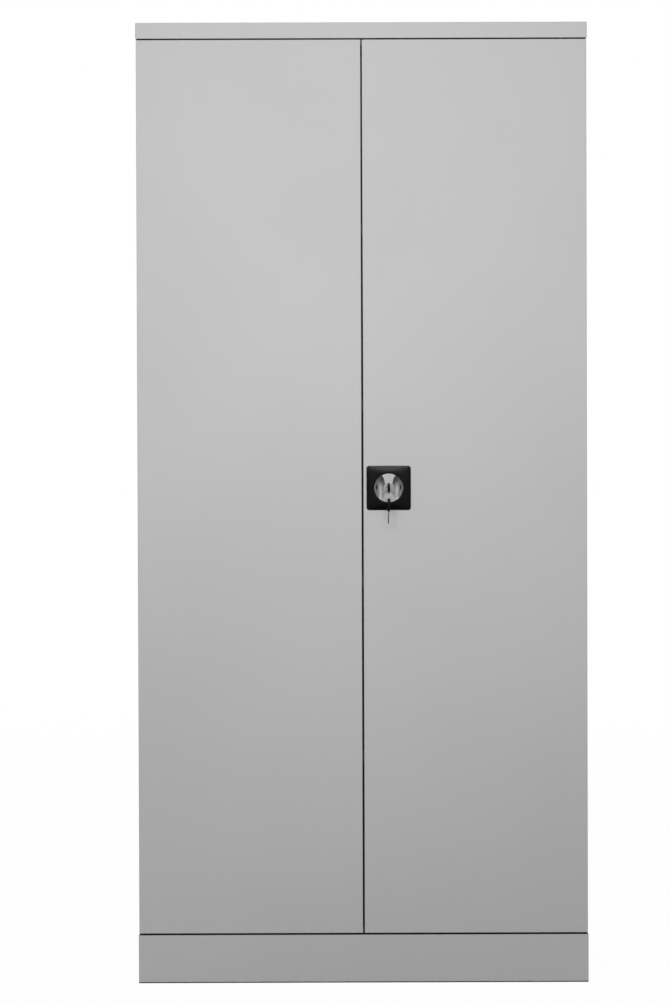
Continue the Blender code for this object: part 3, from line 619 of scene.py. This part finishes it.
# %% [markdown]
# ## The knob
#
# The knob is a die-cast disc. Two deep scoops for finger and thumb leave an upright grip between them,
# and a low round boss in the middle holds the key plug. At the outer end of each scoop is a short upright
# recess, painted black inside as painted shade. A Boolean of two ellipsoids would leave sharp rims, and
# bevels fail where three of them meet. Here the front is a height over every point of the disc instead:
# the two ellipsoids with a soft edge, and the recesses added to them. The painted shade follows the same
# sum, as a mask in a finish of the knob's own.

# %% The height of the front
knob_radius = 29.1 * mm
knob_front = -8 * mm
knob_back = 6 * mm
knob_rim = 0.6 * mm
scoop_offset = 17.6 * mm
scoop_half_width = 10.2 * mm
scoop_half_height = 25.2 * mm
scoop_depth = 11 * mm
scoop_softness = 0.022
recess_offset = 24.4 * mm
recess_middle = 1.0 * mm
recess_half_width = 1.7 * mm
recess_half_height = 7.8 * mm
recess_depth = 2.8 * mm


def knob_height(u, w):
    """The depth of the knob's front here, with the scoops, their end recesses and the rounded rim."""
    across = (abs(u) - scoop_offset) / scoop_half_width
    along = w / scoop_half_height
    inside = 1 - across**2 - along**2
    soft_inside = scoop_softness * math.log1p(math.exp(inside / scoop_softness))
    past_rim = max(0, math.hypot(u, w) - (knob_radius - knob_rim))
    rim_drop = knob_rim - math.sqrt(max(0, knob_rim**2 - past_rim**2))
    across = (abs(u) - recess_offset) / recess_half_width
    along = (w - recess_middle) / recess_half_height
    recess = recess_depth * max(0, 1 - across**2 - along**2) ** 2
    return knob_front + scoop_depth * math.sqrt(soft_inside) + recess + rim_drop


deepest = max(knob_height(u * mm, 0) for u in range(11, 29))
print("the scoops reach", round((deepest - knob_front) / mm, 1), "mm below the front")

# %% The knob's own chrome, with painted shade in the recesses
recess_shade_colour = (0.04, 0.04, 0.04, 1)
recess_shade_full, recess_shade_none = 0.25, 0.80


def knob_chrome(recipe, place):
    inputs = chrome(recipe, place)
    x, y, z = recipe.parts(place)
    across = (abs(x - lock_x) - recess_offset) / recess_half_width
    along = (z - (lock_z + recess_middle)) / recess_half_height
    # Painted shade: the recesses at the ends of the scoops are painted dark.
    painted_recess_shade = 1 - (across * across + along * along).rise(recess_shade_full, recess_shade_none)
    return inputs | {"Base Color": recipe.mix(painted_recess_shade, inputs["Base Color"], recess_shade_colour)}


chrome_with_painted_shade = make_finish("satin_chrome_with_painted_shade", knob_chrome)

# %% The knob's rings
boss_radius = 10.8 * mm
boss_front = -10 * mm
boss_foot_radius = boss_radius + 0.4 * mm
boss_foot_rings = ((boss_radius, 0.35 * mm), (boss_radius + 0.12 * mm, 0.1 * mm))
bore_radius = 7.3 * mm
bore_depth = 14.7 * mm
bore_chamfer_share = 0.3
shank_radius = 9 * mm
shank_back = 23.4 * mm
knob_edge = 0.5 * mm
knob_steps = 240
front_ring_step = 0.3 * mm
last_ring_step = 0.12 * mm


def knob_ring(radius, depth=None, lift=0):
    """A ring of points. Without a depth it lies on the front, lifted by this much."""
    ring = []
    for u, w in circle(radius, knob_steps):
        ring.append(lock_point(u, knob_height(u, w) - lift if depth is None else depth, w))
    return ring


def make_knob():
    chamfer = bore_chamfer_share * knob_edge
    rings = [
        knob_ring(bore_radius, bore_depth),
        knob_ring(bore_radius, boss_front + knob_edge),
        knob_ring(bore_radius + chamfer, boss_front + chamfer),
        knob_ring(bore_radius + knob_edge, boss_front),
    ]
    for on, down in rounding(knob_edge, 3):
        rings.append(knob_ring(boss_radius - knob_edge + on, boss_front + down))
    for radius, lift in boss_foot_rings:
        rings.append(knob_ring(radius, None, lift))
    radius = boss_foot_radius
    while radius < knob_radius - front_ring_step / 2:
        rings.append(knob_ring(radius))
        radius += front_ring_step
    rings += [
        knob_ring(knob_radius - last_ring_step),
        knob_ring(knob_radius),
        knob_ring(knob_radius, knob_back - knob_edge),
        knob_ring(knob_radius - knob_edge, knob_back),
        knob_ring(shank_radius, knob_back),
        knob_ring(shank_radius, shank_back),
    ]
    add_piece("turn_knob", rings, "chrome", "knob", chrome_with_painted_shade)


make_knob()

# %% [markdown]
# ## The lock plate
#
# The plate is a thin square moulding with rounded corners. Its face is a flat dome: it falls away from
# the hole to the edges, steeper and steeper, and the upper slope catches the light. Its finish also paints
# a highlight on what faces up. A thin collar lines the cup behind the knob, down to a foot on its floor,
# and makes the gap round the knob look black. The rings run from the back edge over the dome to the hole
# and down the collar. They turn from square to round on the way, so that the dome has no creases towards
# its corners. That works because every ring has one point in each direction from the centre.

# %% The plate's outline
plate_low, plate_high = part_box("lock_plate")
plate_half = (plate_high.x - plate_low.x) / 2
plate_front = plate_low.y - door_face_y
plate_corner = 5.5 * mm
least_corner = 0.8 * mm
corner_steps, side_steps = 10, 12


def plate_turns():
    """The directions from the centre in which every ring of the plate has a point."""
    straight = plate_half - plate_corner
    side = [(plate_half, straight * (2 * i / side_steps - 1)) for i in range(side_steps)]
    for i in range(corner_steps + 1):
        turn = math.pi / 2 * i / corner_steps
        side.append((straight + plate_corner * math.cos(turn), straight + plate_corner * math.sin(turn)))
    return [quarter * math.pi / 2 + math.atan2(w, u) for quarter in range(4) for u, w in side]


def square_reach(turn, half, corner):
    """How far a rounded square reaches in this direction."""
    c, s = abs(math.cos(turn)), abs(math.sin(turn))
    c, s = max(c, s), min(c, s)
    straight = half - corner
    if half * s <= straight * c:
        return half / c
    toward = straight * (c + s)
    return toward + math.sqrt(toward**2 - 2 * straight**2 + corner**2)


turns_of_plate = plate_turns()
print("a ring of the plate has", len(turns_of_plate), "points")

# %% The plate's rings
plate_back = -0.3 * mm
plate_edge = 0.9 * mm
collar_radius = 30.4 * mm
collar_wall = 0.3 * mm
collar_back = 6.8 * mm
collar_foot_radius = 20 * mm
collar_edge = 0.5 * mm
dome_width = 13.3 * mm
dome_fall = 3.3 * mm
dome_power = 1.4
dome_steps = 12
dome_roundness = 0.9


def plate_ring(reach, depth):
    """A ring of the plate. The reach is a number, or a function of the direction."""
    ring = []
    for turn in turns_of_plate:
        r = reach(turn) if callable(reach) else reach
        ring.append(lock_point(r * math.cos(turn), depth, r * math.sin(turn)))
    return ring


def dome_ring(inset, depth, round_share=0):
    """A rounded square, this much inside the plate's outline, this share of the way to a circle."""
    half = plate_half - inset
    corner = max(plate_corner - inset, least_corner)
    corner += (half - corner) * round_share
    return plate_ring(lambda turn: square_reach(turn, half, corner), depth)


def make_plate():
    rings = [plate_ring(collar_radius + collar_wall, plate_back), dome_ring(0, plate_back)]
    for on, down in rounding(plate_edge, 6):
        rings.append(dome_ring(down, plate_front + dome_fall + plate_edge - on))
    for i in range(1, dome_steps + 1):
        share = i / dome_steps
        inset = plate_edge + (dome_width - plate_edge) * share
        depth = plate_front + dome_fall * (1 - share) ** dome_power
        rings.append(dome_ring(inset, depth, dome_roundness * share))
    for on, down in rounding(collar_edge, 3):
        rings.append(plate_ring(collar_radius + collar_edge - on, plate_front + down))
    rings += [
        plate_ring(collar_radius, collar_back - collar_wall),
        plate_ring(collar_foot_radius, collar_back - collar_wall),
        plate_ring(collar_foot_radius, collar_back),
        plate_ring(collar_radius + collar_wall, collar_back),
    ]
    add_piece("knob_plate", rings, "black_plastic", "lock_plate", endless=True)


make_plate()

# %% [markdown]
# ## The keys
#
# Two flat keys share a split ring: one is in the lock and the other hangs below it, leaning a little to
# the left as it happens to rest on the ring. Seen from its end, a key's head is a lens: thick along the
# middle, where it holds the blade, and thin at both sides. So its rings are the outline, drawn smaller
# and smaller towards the middle, and the thickness at each point follows from how far it is from the
# middle line. The hole for the ring and the pocket for the blade come from a Boolean, which is applied at
# once so that no helper is left. A key's own directions are u along it, v across it and t through it.

# %% The outline and thickness of a key's head
head_length = 26 * mm
head_radius = 11 * mm
head_half_thickness = 2.7 * mm
head_side_half = 0.8 * mm
head_shoulder = 13 * mm
head_edge = 0.35 * mm
head_steps, shoulder_steps = 48, 6
head_arc_start, head_arc = math.radians(60), math.radians(240)
head_middle = Vector((-head_length / 2, 0))
head_ring_shares = (0.15, 0.30, 0.45, 0.60, 0.75, 0.88, 0.96)


def head_outline():
    """The head, drawn with u = 0 at its shoulder and its round end at negative u."""
    points = [Vector((0, head_shoulder * (i / shoulder_steps - 0.5))) for i in range(shoulder_steps + 1)]
    round_middle = head_radius - head_length
    for i in range(head_steps + 1):
        turn = head_arc_start + head_arc * i / head_steps
        points.append(Vector((round_middle + head_radius * math.cos(turn), head_radius * math.sin(turn))))
    return points


def half_thickness(point):
    """Half the head's thickness at this point."""
    aside = point.y / head_radius
    return head_side_half + (head_half_thickness - head_side_half) * (1 - aside**2)


print("a ring of a key's head has", len(head_outline()), "points")

# %% A helper that cuts at once
def carve(item, shape):
    """Cuts the shape from the item and keeps only the result."""
    cutter = make_mesh("cutter", shape)
    others = list(item.modifiers)
    for modifier in others:
        modifier.show_viewport = False
    hole = item.modifiers.new("hole", "BOOLEAN")
    hole.object = cutter
    bpy.context.view_layer.update()
    view = bpy.context.evaluated_depsgraph_get()
    result = bpy.data.meshes.new_from_object(item.evaluated_get(view))
    item.modifiers.remove(hole)
    for modifier in others:
        modifier.show_viewport = True
    item.data = result
    bpy.data.objects.remove(cutter)
    print(item.name, "has", len(result.polygons), "faces after the cut")


def rectangle(low, high):
    """The four corners between two opposite ones."""
    return [(low[0], low[1]), (high[0], low[1]), (high[0], high[1]), (low[0], high[1])]


# %% A key's head
ring_hole_radius = 2.5 * mm
ring_hole_place = -21 * mm
ring_hole_steps = 24
pocket_start, pocket_end = -6 * mm, 2 * mm
pocket_half_width, pocket_half_thickness = 4.3 * mm, 1.3 * mm


def make_head(name, place, solid):
    outline = head_outline()
    rows = []
    for share in head_ring_shares:
        row = [head_middle.lerp(point, share) for point in outline]
        rows.append([(point, half_thickness(point)) for point in row])
    rows.append([(point, half_thickness(point) - head_edge) for point in outline])
    rows += [[(point, -half) for point, half in row] for row in reversed(rows)]
    rings = [[place(point.x, point.y, t) for point, t in row] for row in rows]
    head = add_piece(name, rings, "black_plastic", solid, key_black)
    hole = [(ring_hole_place + u, v) for u, v in circle(ring_hole_radius, ring_hole_steps)]
    pocket = rectangle((pocket_start, -pocket_half_width), (pocket_end, pocket_half_width))
    cutter = bmesh.new()
    for corners, reach in ((hole, 2 * head_half_thickness), (pocket, pocket_half_thickness)):
        skin(cutter, [[place(u, v, t) for u, v in corners] for t in (-reach, reach)])
    carve(head, cutter)


# %% A key's blade
blade_start = -5.7 * mm
blade_length = 24.6 * mm
blade_half = 4 * mm
blade_half_thickness = 1 * mm
first_bit, bit_pitch = 3.0 * mm, 3.75 * mm
bit_depths = [depth * mm for depth in (1.4, 0.6, 1.1, 0.4, 1.3)]
bit_flank_end, bit_floor_end = 1.1 * mm, 2.9 * mm
crest_wear = 0.15 * mm
groove_depth = 0.5 * mm
near_groove = (-0.8 * mm, 0.6 * mm)
far_groove = (0.2 * mm, 1.5 * mm)


def blade_stations():
    """(u, low edge, high edge) along the blade: flat-bottomed cuts, sloping flanks, and a blunt tip."""
    stations = [(blade_start, -blade_half, blade_half), (first_bit, -blade_half, blade_half)]
    for i, depth in enumerate(bit_depths):
        start = first_bit + i * bit_pitch
        floor = depth - blade_half
        stations.append((start + bit_flank_end, floor, blade_half))
        stations.append((start + bit_floor_end, floor, blade_half))
        stations.append((start + bit_pitch, crest_wear - blade_half, blade_half))
    return stations + [(blade_length, -blade_half / 2, blade_half / 2)]


def blade_side(low, high):
    """The blade's cross-section, as (v, t) pairs, with a groove in each face."""
    near, far = blade_half_thickness, -blade_half_thickness
    side = [(low, near), (near_groove[0], near), (near_groove[0], near - groove_depth)]
    side += [(near_groove[1], near - groove_depth), (near_groove[1], near), (high, near)]
    side += [(high, far), (far_groove[1], far), (far_groove[1], far + groove_depth)]
    side += [(far_groove[0], far + groove_depth), (far_groove[0], far), (low, far)]
    return side


def make_blade(name, place, solid):
    rings = [[place(u, v, t) for v, t in blade_side(low, high)] for u, low, high in blade_stations()]
    add_piece(name, rings, "key_metal", solid)


# %% Both keys
key_shoulder_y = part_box("key_bow")[1].y
spare_low, spare_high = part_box("spare_key_bow")
spare_y = (spare_low.y + spare_high.y) / 2
spare_lean = Matrix.Rotation(math.radians(1.2), 3, "Y")
spare_hold = Vector((lock_x, spare_y, spare_low.z - ring_hole_place))


def place_key(u, v, t):
    """The key in the lock points back, into the plug."""
    return Vector((lock_x + t, key_shoulder_y + u, lock_z + v))


def place_spare(u, v, t):
    """The spare key points down, and leans about the hole that holds it."""
    upright = Vector((lock_x + t, spare_y + v, spare_low.z - u))
    return spare_hold + spare_lean @ (upright - spare_hold)


make_head("key_head", place_key, "key_bow")
make_blade("key_shaft", place_key, "key_blade")
make_head("spare_key_head", place_spare, "spare_key_bow")
make_blade("spare_key_shaft", place_spare, "spare_key_blade")

# %% [markdown]
# ## The split ring
#
# The ring is one length of flattened wire wound twice round, and its two turns change places over a short
# step. A torus would lose that step, so the wire's oval is carried along the whole path and turned with
# it.

# %% Two turns of wire
ring_low, ring_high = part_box("key_ring")
ring_middle = (ring_low + ring_high) / 2
ring_radius = 12 * mm
wire_half_width = 0.6 * mm
wire_half_depth = 0.4 * mm
turn_spacing = 0.86 * mm
ring_steps = 72
wire_steps = 10
change_turn = 0.12


def make_split_ring():
    rings = []
    for i in range(2 * ring_steps + 1):
        turns = i / ring_steps
        share = min(1, max(0, (turns - 1 + change_turn) / (2 * change_turn)))
        middle_y = turn_spacing * (share * share * (3 - 2 * share) - 0.5)
        around = math.tau * turns + math.pi
        ring = []
        for out, back in circle(1, wire_steps):
            radius = ring_radius + wire_half_width * out
            y = middle_y + wire_half_depth * back
            ring.append(ring_middle + Vector((radius * math.cos(around), y, radius * math.sin(around))))
        rings.append(ring)
    add_piece("split_ring", rings, "chrome", "key_ring")


make_split_ring()

# %% [markdown]
# ## Screw and buffers inside the doors
#
# With the doors open two more small things show. A pan-head screw with a cross recess holds the cam on
# the knob's shank, and four black rubber buffers on the stops keep the doors from banging. All of them
# are turned forms, so one helper makes rings from a list of radii and depths. The recess is two tapered
# bars, cut one after the other, because a Boolean wants a cutter that doesn't cross itself.

# %% Turned rings
turned_steps = 32
crown_turns = [math.radians(turn) for turn in (0, 15, 30, 45, 60, 75, 87)]
crown_flatness = 0.6
print("a turned ring has", turned_steps, "points")


def turned_rings(profile, x, z):
    """A ring round an axis that runs from front to back, for each radius and place along it."""
    return [[Vector((x + u, y, z + w)) for u, w in circle(r, turned_steps)] for r, y in profile]


def crown(radius, edge_y, crown_y):
    """The radii and places of a flat dome, from its edge to its crown."""
    fall = crown_y - edge_y
    return [(radius * math.cos(a) ** crown_flatness, edge_y + fall * math.sin(a)) for a in crown_turns]


# %% The cam's screw
screw_low, screw_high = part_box("cam_screw")
screw_radius = 1.8 * mm
screw_head_radius = (screw_high.x - screw_low.x) / 2
screw_head_height = 2.5 * mm
screw_head_side = 0.9 * mm
cross_half_length, cross_half_width = 3.1 * mm, 0.7 * mm
cross_depth = 1.7 * mm
cross_taper = 0.6


def cross_bar(half_u, half_w):
    """One tapered bar of the cross, narrow at its bottom and as much wider above the head."""
    bar = []
    for y, size in ((-cross_depth, cross_taper), (cross_depth, 2 - cross_taper)):
        corners = rectangle((-half_u * size, -half_w * size), (half_u * size, half_w * size))
        bar.append([Vector((lock_x + u, screw_high.y + y, lock_z + w)) for u, w in corners])
    return bar


def make_screw():
    seat_y = screw_high.y - screw_head_height
    profile = [(screw_radius, screw_low.y), (screw_radius, seat_y), (screw_head_radius, seat_y)]
    profile += crown(screw_head_radius, seat_y + screw_head_side, screw_high.y)
    rings = turned_rings(profile, lock_x, lock_z)
    screw = add_piece("cross_screw", rings, "zinc_plated", "cam_screw")
    for sizes in ((cross_half_length, cross_half_width), (cross_half_width, cross_half_length)):
        cutter = bmesh.new()
        skin(cutter, cross_bar(*sizes))
        carve(screw, cutter)


make_screw()

# %% Door buffers
buffer_radius = 4.5 * mm
buffer_side = 0.8 * mm
buffer_gap = 0.3 * mm
buffer_offset = 130 * mm
stop_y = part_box("floor_tray")[0].y
low_stop_z = (door_low.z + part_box("floor_tray")[1].z) / 2
high_stop_z = (door_high.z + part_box("top_cap")[0].z) / 2


def make_buffer(name, x, z, solid):
    profile = [(buffer_radius, stop_y)]
    profile += crown(buffer_radius, stop_y - buffer_side, door_high.y + buffer_gap)
    add_piece(name, turned_rings(profile, x, z), "black_plastic", solid, stands_for_it=False)


for word, x in (("left", -buffer_offset), ("right", buffer_offset)):
    make_buffer(f"buffer_{word}_low", x, low_stop_z, "floor_tray")
    make_buffer(f"buffer_{word}_high", x, high_stop_z, "top_cap")

# %% [markdown]
# ## The studio
#
# The photograph shows the cabinet cut out on white: the paint is lightest at the top and about a fifth
# darker at the foot. One wide soft box in front, a little above the lock, lights the doors, and the world
# fills in with a sky that is brighter above than below. The camera sees plain white instead of that sky.
# Metal would look flat if all of it reflected plain white, so the reflections see what a studio has:
# white in front, greyer walls at the sides and higher up, and a bright ceiling. The floor is white to the
# camera as well, but keeps a trace of shadow near the cabinet.

# %% World
white = (1, 1, 1, 1)
fill_low = (0.29, 0.29, 0.29, 1)
fill_high = (0.76, 0.76, 0.76, 1)
fill_back = (0.90, 0.90, 0.90, 1)
reflected_side = (0.4, 0.4, 0.4, 1)
reflected_slope = (0.46, 0.46, 0.46, 1)
reflected_ceiling = (1.2, 1.2, 1.2, 1)
fill_rise, back_rise = (0.3, 0.8), (-0.2, 0.5)
side_rise, slope_rise, ceiling_rise = (0.25, 0.6), (0.12, 0.35), (0.70, 0.88)


def make_world():
    """Each rise says how far a direction points up, back or aside where one grey turns into the next."""
    world = bpy.data.worlds.new("studio")
    recipe = Recipe(world)
    aside, back, up = recipe.parts(recipe.node("ShaderNodeTexCoord", None, None, "Generated"))
    fill_front = recipe.mix(up.rise(*fill_rise), fill_low, fill_high)
    fill = recipe.mix(back.rise(*back_rise), fill_front, fill_back)
    walls = recipe.mix(abs(aside).rise(*side_rise), white, reflected_side)
    walls = recipe.mix(up.rise(*slope_rise), walls, reflected_slope)
    reflected = recipe.mix(up.rise(*ceiling_rise), walls, reflected_ceiling)
    camera_ray = recipe.node("ShaderNodeLightPath", None, None, "Is Camera Ray")
    clear_ray = camera_ray + camera_ray.beside("Is Transmission Ray")
    unseen = recipe.mix(camera_ray.beside("Is Glossy Ray"), fill, reflected)
    seen = recipe.mix(clear_ray, unseen, white)
    light = recipe.node("ShaderNodeBackground", None, {"Color": seen, "Strength": 1.0})
    recipe.node("ShaderNodeOutputWorld", None, {"Surface": light})
    print("the studio's sky has", len(recipe.tree.nodes), "nodes")
    return world


scene.world = make_world()

# %% Floor
floor_size = 60.0
floor_drop = 0.2 * mm
floor_shadow_share = 0.02
shadow_near, shadow_far = 1.5, 6.0
paper_dark, paper_light = (0.45, 0.45, 0.45, 1), (0.49, 0.49, 0.49, 1)
paper_waves = 40


def make_sheet(name, corners, material_name):
    """A flat sheet for the studio and the empty recipe of its material."""
    mesh = bpy.data.meshes.new(name)
    mesh.from_pydata(corners, [], [(0, 1, 2, 3)])
    sheet = bpy.data.objects.new(name, mesh)
    scene.collection.objects.link(sheet)
    material = bpy.data.materials.new(material_name)
    mesh.materials.append(material)
    return sheet, Recipe(material)


def make_floor():
    half = floor_size / 2
    corners = [(-half, -half, 0), (half, -half, 0), (half, half, 0), (-half, half, 0)]
    floor, recipe = make_sheet("studio_floor", corners, "pale_floor")
    floor.location.z = -floor_drop
    place = recipe.node("ShaderNodeTexCoord", None, None, "Object")
    paper = recipe.mix(recipe.noise(place, paper_waves, 3.0), paper_dark, paper_light)
    matt = recipe.node("ShaderNodeBsdfDiffuse", None, {"Color": paper})
    plain = recipe.node("ShaderNodeEmission", None, {"Color": white, "Strength": 1.0})
    camera_ray = recipe.node("ShaderNodeLightPath", None, None, "Is Camera Ray")
    away = recipe.node("ShaderNodeVectorMath", {"operation": "LENGTH"}, {0: place}, "Value")
    shadow_share = (1 - away.rise(shadow_near, shadow_far)) * floor_shadow_share
    seen = (camera_ray + camera_ray.beside("Is Glossy Ray")) * (1 - shadow_share)
    both = recipe.node("ShaderNodeMixShader", None, {0: seen, 1: matt, 2: plain})
    clear = recipe.node("ShaderNodeBsdfTransparent")
    under = recipe.node("ShaderNodeNewGeometry", None, None, "Backfacing")
    one_sided = recipe.node("ShaderNodeMixShader", None, {0: under, 1: both, 2: clear})
    recipe.node("ShaderNodeOutputMaterial", None, {"Surface": one_sided})
    print("the floor is", floor_size, "m wide")


make_floor()

# %% Soft box
soft_box_place = (-0.15, -2.2, 1.68)
soft_box_width, soft_box_height = 1.6, 0.9
soft_box_power = 33
straight_back = Vector((0, 1, 0))


def make_soft_box():
    """A wide lamp in front of the doors, which the metal doesn't reflect."""
    lamp = bpy.data.lights.new("soft_box_in_front", "AREA")
    lamp.shape = "RECTANGLE"
    lamp.size = soft_box_width
    lamp.size_y = soft_box_height
    lamp.energy = soft_box_power
    box = bpy.data.objects.new("soft_box_in_front", lamp)
    scene.collection.objects.link(box)
    box.location = soft_box_place
    box.rotation_euler = straight_back.to_track_quat("-Z", "Y").to_euler()
    box.visible_glossy = False
    print("the soft box has", lamp.energy, "W")


make_soft_box()

# %% [markdown]
# ## A dark card
#
# In the photograph the lower half of each round piece of metal goes dark, because it reflects the unlit
# floor in front of the cabinet. The floor here is white to the reflections, so a card of dark cloth
# slants up from it, as a photographer would place one. Only reflections see it: it takes no light from
# the paint and throws no shadow.

# %% A dark card for the reflections
card_half = 4.0
card_top_y, card_top_z = -1.30, 0.78
card_foot_y, card_foot_z = -0.25, -0.10
cloth_dark, cloth_light = (0.004, 0.004, 0.004, 1), (0.007, 0.007, 0.007, 1)
cloth_waves = 90


def make_dark_card():
    """A slanting card low in front of the lock that only reflections see."""
    top = [(-card_half, card_top_y, card_top_z), (card_half, card_top_y, card_top_z)]
    foot = [(card_half, card_foot_y, card_foot_z), (-card_half, card_foot_y, card_foot_z)]
    card, recipe = make_sheet("dark_card", top + foot, "dark_cloth")
    place = recipe.node("ShaderNodeTexCoord", None, None, "Object")
    cloth = recipe.mix(recipe.noise(place, cloth_waves, 2.0), cloth_dark, cloth_light)
    matt = recipe.node("ShaderNodeBsdfDiffuse", None, {"Color": cloth})
    recipe.node("ShaderNodeOutputMaterial", None, {"Surface": matt})
    for rays in ("camera", "diffuse", "shadow", "transmission", "volume_scatter"):
        setattr(card, "visible_" + rays, False)
    print("the card is", 2 * card_half, "m wide")


make_dark_card()
